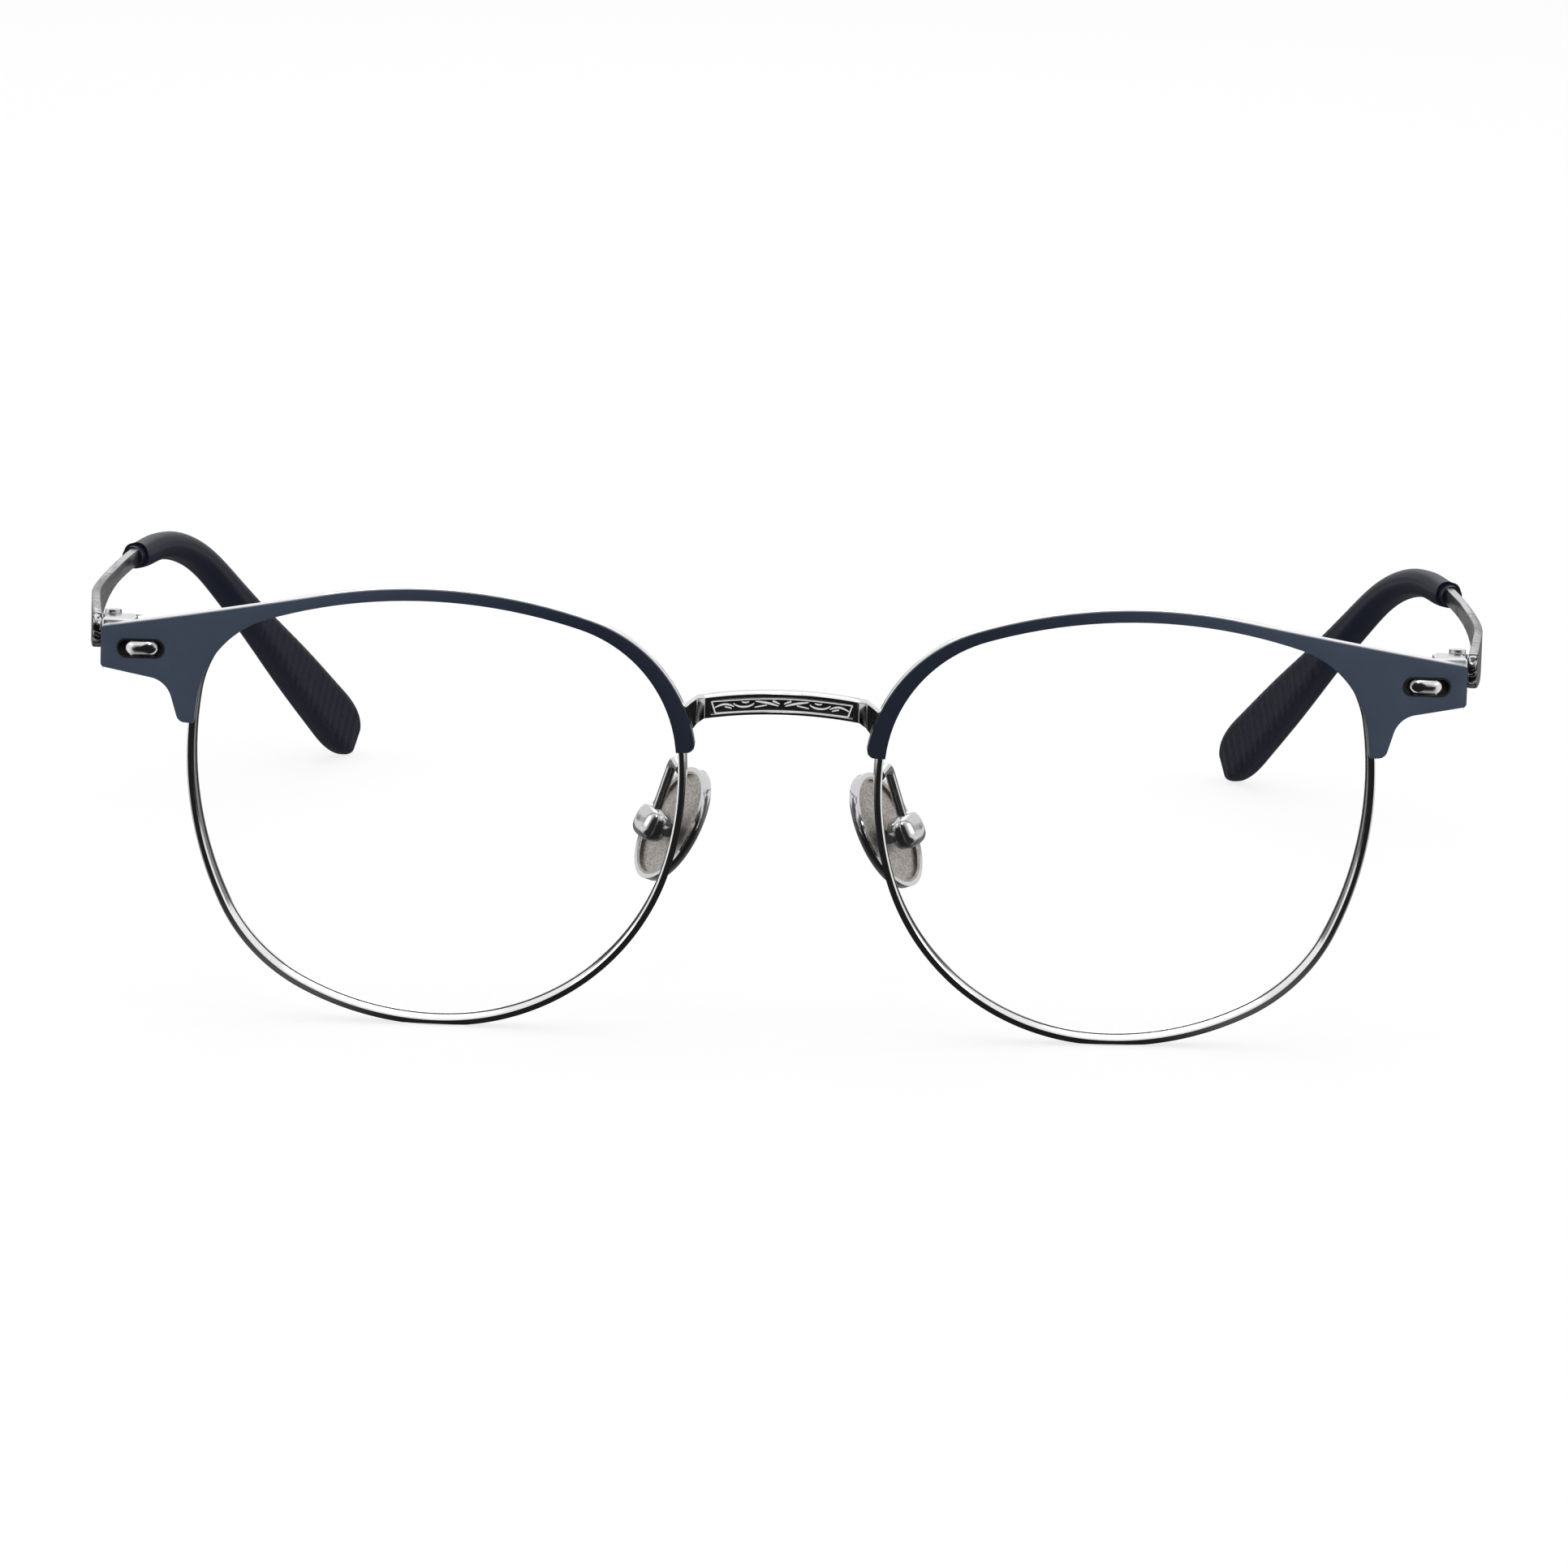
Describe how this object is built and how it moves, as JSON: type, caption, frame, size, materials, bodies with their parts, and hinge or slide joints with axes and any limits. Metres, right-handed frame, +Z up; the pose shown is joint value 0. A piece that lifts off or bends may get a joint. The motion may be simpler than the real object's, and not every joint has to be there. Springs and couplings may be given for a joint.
{
  "type": "browline glasses",
  "caption": "Browline glasses with metal eyewires under navy brow plates, an arched engraved bridge, rocking nose pads and folding temples with moulded tips.",
  "frame": {"origin": "middle of the glasses on the table, half way between the front of the brow and the back of the temple tips", "axes": "+X to the wearer's left, +Y from the front to the temple tips, +Z up; the front faces -Y"},
  "size_m": [0.1544, 0.14, 0.0469],
  "materials": {
    "rim_metal": "polished",
    "brow_metal": "polished",
    "brow_navy": "satin lacquer",
    "lens_clear": "clear, polished",
    "bridge_metal": "polished, engraved panel darkened",
    "fitting_metal": "polished",
    "screw_metal": "turned",
    "pad_metal": "polished edge, blasted dish",
    "temple_metal": "polished, engraved leaf",
    "tip_navy": "satin"
  },
  "bodies": {
    "front": {"bridge": "bridge_metal", "brow_base_left": "brow_metal", "brow_base_right": "brow_metal", "brow_plate_left": "brow_navy", "brow_plate_right": "brow_navy", "brow_stud_left": "brow_metal", "brow_stud_right": "brow_metal", "end_piece_left": "fitting_metal", "end_piece_right": "fitting_metal", "front_hinge_left": "fitting_metal", "front_hinge_right": "fitting_metal", "hinge_screw_left": "screw_metal", "hinge_screw_right": "screw_metal", "lens_left": "lens_clear", "lens_right": "lens_clear", "lock_lower_left": "fitting_metal", "lock_lower_right": "fitting_metal", "lock_screw_left": "screw_metal", "lock_screw_right": "screw_metal", "lock_upper_left": "fitting_metal", "lock_upper_right": "fitting_metal", "pad_arm_left": "fitting_metal", "pad_arm_right": "fitting_metal", "pad_box_left": "fitting_metal", "pad_box_right": "fitting_metal", "pad_screw_left": "screw_metal", "pad_screw_right": "screw_metal", "rim_left": "rim_metal", "rim_right": "rim_metal", "slot_liner_left": "brow_metal", "slot_liner_right": "brow_metal"},
    "left_temple": {"temple_hinge_left": "fitting_metal", "temple_left": "temple_metal", "temple_tip_left": "tip_navy"},
    "left_pad": {"nose_pad_left": "pad_metal"},
    "right_temple": {"temple_hinge_right": "fitting_metal", "temple_right": "temple_metal", "temple_tip_right": "tip_navy"},
    "right_pad": {"nose_pad_right": "pad_metal"}
  },
  "joints": [
    {"name": "temple_fold_left", "type": "hinge", "parent": "front", "child": "left_temple", "pos_m": [0.0698, -0.05655, 0.03921], "axis": [0, 0.0844, 0.9964], "range_deg": [0, 82]},
    {"name": "temple_fold_right", "type": "hinge", "parent": "front", "child": "right_temple", "pos_m": [-0.0698, -0.05655, 0.03921], "axis": [0, -0.0844, -0.9964], "range_deg": [0, 70]},
    {"name": "pad_rock_left", "type": "hinge", "parent": "front", "child": "left_pad", "pos_m": [0.01277, -0.05865, 0.02078], "axis": [0.6244, 0.7425, 0.2428], "range_deg": [-8, 8]},
    {"name": "pad_rock_right", "type": "hinge", "parent": "front", "child": "right_pad", "pos_m": [-0.01277, -0.05865, 0.02078], "axis": [-0.6244, 0.7425, 0.2428], "range_deg": [-8, 8]}
  ]
}
